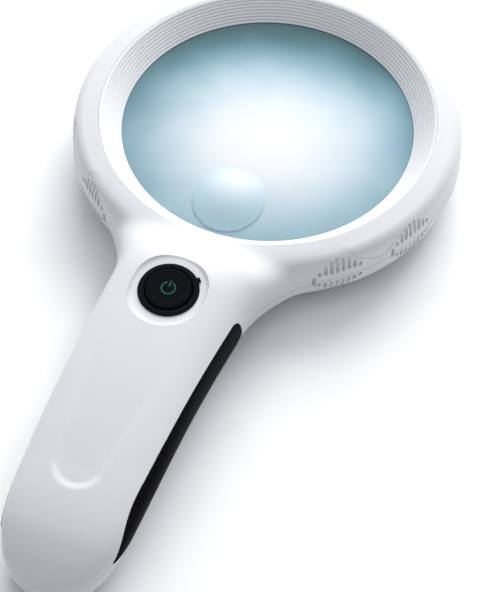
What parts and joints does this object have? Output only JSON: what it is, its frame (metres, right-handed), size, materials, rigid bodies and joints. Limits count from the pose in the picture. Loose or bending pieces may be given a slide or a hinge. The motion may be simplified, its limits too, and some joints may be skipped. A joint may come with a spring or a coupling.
{
  "type": "illuminated hand magnifier",
  "caption": "Hand magnifier with a round bifocal lens in a stepped bezel, a drooping battery handle, a sprung push button and soft grip strips.",
  "frame": {"origin": "On the plane that the magnifier rests on when it lies face up, below the centre of the lens", "axes": "+Z is the lens axis, up and out of the lens face; the handle runs along -Y; +X is to the right when the handle points at the user"},
  "size_m": [0.12, 0.2388, 0.0331],
  "materials": {
    "white_shell": "satin moulded ABS, finely textured",
    "lens": "clear polished acrylic with a blue-green edge tint",
    "foam": "soft dark seat ring",
    "window": "frosted clear acrylic",
    "board": "green solder mask on glass epoxy",
    "led_body": "water-clear epoxy",
    "lead_insulation": "soft PVC insulation",
    "black_plastic": "semi-gloss black",
    "green_ink": "dark green inlay",
    "ivory_plastic": "natural acetal",
    "dark_plastic": "moulded black ABS",
    "spring_steel": "bright spring wire",
    "screw_steel": "zinc-plated steel",
    "resistor_body": "lacquered ceramic",
    "cell_jacket": "plain printed jacket",
    "contact_brass": "nickel-plated brass",
    "grip_rubber": "soft-touch rubber"
  },
  "bodies": {
    "body": {"front_shell": "white_shell", "back_shell": "white_shell", "bezel_ring": "white_shell", "main_lens": "lens", "inset_lens": "lens", "lens_gasket": "foam", "led_window": "window", "led_board": "board", "leds": "led_body", "led_leads": "lead_insulation", "button_collar": "black_plastic", "button_spring": "spring_steel", "switch_body": "dark_plastic", "main_board": "board", "resistors": "resistor_body", "board_screws": "screw_steel", "battery_holder": "dark_plastic", "cell_1": "cell_jacket", "cell_2": "cell_jacket", "cell_3": "cell_jacket", "contact_plates": "contact_brass", "contact_springs": "spring_steel", "battery_leads": "lead_insulation", "case_screws": "screw_steel", "left_grip": "grip_rubber", "right_grip": "grip_rubber"},
    "button": {"button_cap": "black_plastic", "power_mark": "green_ink", "switch_plunger": "ivory_plastic"},
    "door": {"battery_door": "white_shell"}
  },
  "joints": [
    {"name": "button_press", "type": "slide", "parent": "body", "child": "button", "axis": [0, 0.1219, -0.9925], "range_m": [0, 0.0012], "stiffness_N_per_m": 600, "deforming": ["button_spring"]},
    {"name": "door_lift", "type": "slide", "parent": "body", "child": "door", "axis": [0, 0, -1], "range_m": [0, 0.018]}
  ]
}
